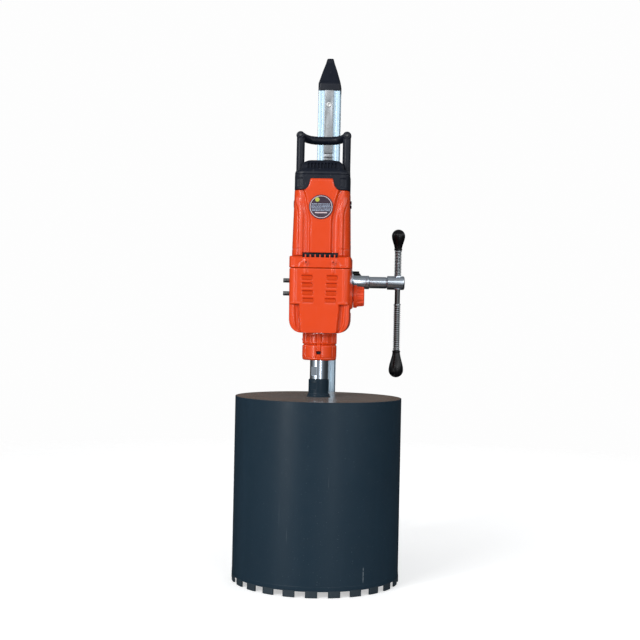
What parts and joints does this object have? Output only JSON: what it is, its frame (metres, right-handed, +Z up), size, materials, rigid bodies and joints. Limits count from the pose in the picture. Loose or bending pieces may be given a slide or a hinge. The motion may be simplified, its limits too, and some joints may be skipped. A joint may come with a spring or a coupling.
{
  "type": "diamond core drill rig",
  "caption": "Rack-fed column stand on a wheeled base, carrying a geared electric core drill with a large tubular bit, spring-held feed bar, water valve and levelling screws.",
  "frame": {"origin": "on the column's vertical axis, in the plane of the base plate's underside (the floor)", "axes": "+Z up along the column; -Y from the column to the spindle, the side the operator faces; +X towards the feed bar"},
  "size_m": [0.3554, 0.806, 1.146],
  "materials": {
    "steel_plate": "dark grey powder coat",
    "zinc_steel": "zinc plated",
    "aluminium_profile": "satin anodised extrusion",
    "rack_steel": "cut and oiled",
    "black_plastic": "fine texture",
    "grip_rubber": "smooth",
    "wheel_rubber": "solid tyre",
    "carriage_metal": "dark satin",
    "bronze": "machined",
    "bright_steel": "ground and plated",
    "orange_paint": "gloss",
    "orange_knob": "satin",
    "badge_print": "printed disc with plain stripes",
    "level_amber": "clear vial",
    "lamination": "laminated",
    "copper_core": "wound",
    "fan_plastic": "moulded",
    "bit_paint": "worn dark blue-grey paint",
    "segment_metal": "sintered"
  },
  "bodies": {
    "stand": {"base_plate": "steel_plate", "column_bracket": "steel_plate", "stand_bolts": "zinc_steel", "column": "aluminium_profile", "rack": "rack_steel", "rack_screws": "zinc_steel", "column_cap": "black_plastic", "brace": "steel_plate", "brace_lugs": "steel_plate", "jam_nuts": "zinc_steel", "wheel_axle": "zinc_steel"},
    "wheel_left": {"wheel_left": "wheel_rubber"},
    "wheel_right": {"wheel_right": "wheel_rubber"},
    "level_fl": {"level_screw_fl": "zinc_steel"},
    "level_fr": {"level_screw_fr": "zinc_steel"},
    "level_rl": {"level_screw_rl": "zinc_steel"},
    "level_rr": {"level_screw_rr": "zinc_steel"},
    "carriage": {"carriage_body": "carriage_metal", "gib_pads": "bronze", "gib_screws": "zinc_steel", "pinion_housing": "bright_steel", "pinion_bushes": "bronze", "mount_spacer": "carriage_metal", "spacer_bolts": "zinc_steel", "gear_case": "orange_paint", "gear_cover": "orange_paint", "motor_housing": "orange_paint", "top_cap": "black_plastic", "carry_handle": "black_plastic", "neck_housing": "orange_paint", "water_valve": "bronze", "badge": "badge_print", "stator": "lamination", "brush_holders": "bronze", "brush_caps": "black_plastic", "housing_screws": "zinc_steel", "cable_gland": "black_plastic", "bubble_level": "level_amber", "spindle_bearings": "bright_steel", "idler_bearings": "bright_steel", "armature_bearings": "bright_steel", "shaft_seals": "grip_rubber"},
    "spindle": {"spindle": "bright_steel", "spindle_gear": "rack_steel", "bit_barrel": "bit_paint", "bit_head": "bit_paint", "bit_segments": "segment_metal"},
    "idler": {"idler_shaft": "rack_steel", "idler_gear": "rack_steel"},
    "armature": {"armature": "copper_core", "armature_fan": "fan_plastic"},
    "selector": {"gear_selector": "orange_knob"},
    "switch": {"power_switch": "black_plastic"},
    "valve": {"valve_lever": "orange_knob"},
    "feed": {"feed_shaft": "rack_steel", "feed_hub": "bright_steel"},
    "bar": {"sliding_bar": "bright_steel", "bar_knobs": "grip_rubber", "bar_springs": "bright_steel"},
    "lock": {"lock_lever": "grip_rubber"}
  },
  "joints": [
    {"name": "carriage_slide", "type": "slide", "parent": "stand", "child": "carriage", "axis": [0, 0, 1], "range_m": [-0.36, 0.25]},
    {"name": "feed_turn", "type": "hinge", "parent": "carriage", "child": "feed", "pos_m": [0, -0.048, 0.63], "axis": [1, 0, 0], "range_deg": [-1030, 1480]},
    {"name": "bar_slide", "type": "slide", "parent": "feed", "child": "bar", "axis": [0, 0, 1], "range_m": [0, 0.03]},
    {"name": "lock_turn", "type": "hinge", "parent": "carriage", "child": "lock", "pos_m": [0.06, 0, 0.65], "axis": [1, 0, 0], "range_deg": [0, 75]},
    {"name": "spindle_turn", "type": "hinge", "parent": "carriage", "child": "spindle", "pos_m": [0, -0.235, 0.45], "axis": [0, 0, 1], "continuous": true},
    {"name": "idler_turn", "type": "hinge", "parent": "carriage", "child": "idler", "pos_m": [0, -0.186, 0.58], "axis": [0, 0, 1], "continuous": true},
    {"name": "armature_turn", "type": "hinge", "parent": "carriage", "child": "armature", "pos_m": [0, -0.221, 0.73], "axis": [0, 0, 1], "continuous": true},
    {"name": "selector_turn", "type": "hinge", "parent": "carriage", "child": "selector", "pos_m": [0.08, -0.235, 0.594], "axis": [1, 0, 0], "range_deg": [0, 90]},
    {"name": "switch_rock", "type": "hinge", "parent": "carriage", "child": "switch", "pos_m": [0, -0.161, 0.77], "axis": [1, 0, 0], "range_deg": [-8, 8]},
    {"name": "valve_turn", "type": "hinge", "parent": "carriage", "child": "valve", "pos_m": [0, -0.177, 0.5], "axis": [0, 0, -1], "range_deg": [0, 90]},
    {"name": "wheel_left_spin", "type": "hinge", "parent": "stand", "child": "wheel_left", "pos_m": [-0.121, 0.354, 0.046], "axis": [1, 0, 0], "continuous": true},
    {"name": "wheel_right_spin", "type": "hinge", "parent": "stand", "child": "wheel_right", "pos_m": [0.121, 0.354, 0.046], "axis": [1, 0, 0], "continuous": true},
    {"name": "level_fl_screw", "type": "slide", "parent": "stand", "child": "level_fl", "axis": [0, 0, -1], "range_m": [0, 0.02]},
    {"name": "level_fr_screw", "type": "slide", "parent": "stand", "child": "level_fr", "axis": [0, 0, -1], "range_m": [0, 0.02]},
    {"name": "level_rl_screw", "type": "slide", "parent": "stand", "child": "level_rl", "axis": [0, 0, -1], "range_m": [0, 0.02]},
    {"name": "level_rr_screw", "type": "slide", "parent": "stand", "child": "level_rr", "axis": [0, 0, -1], "range_m": [0, 0.02]}
  ],
  "couplings": [
    {"joint": "feed_turn", "follows": "carriage_slide", "rad_per_m": -71.429},
    {"joint": "idler_turn", "follows": "spindle_turn", "ratio": -3.6667},
    {"joint": "armature_turn", "follows": "spindle_turn", "ratio": 13.444}
  ]
}
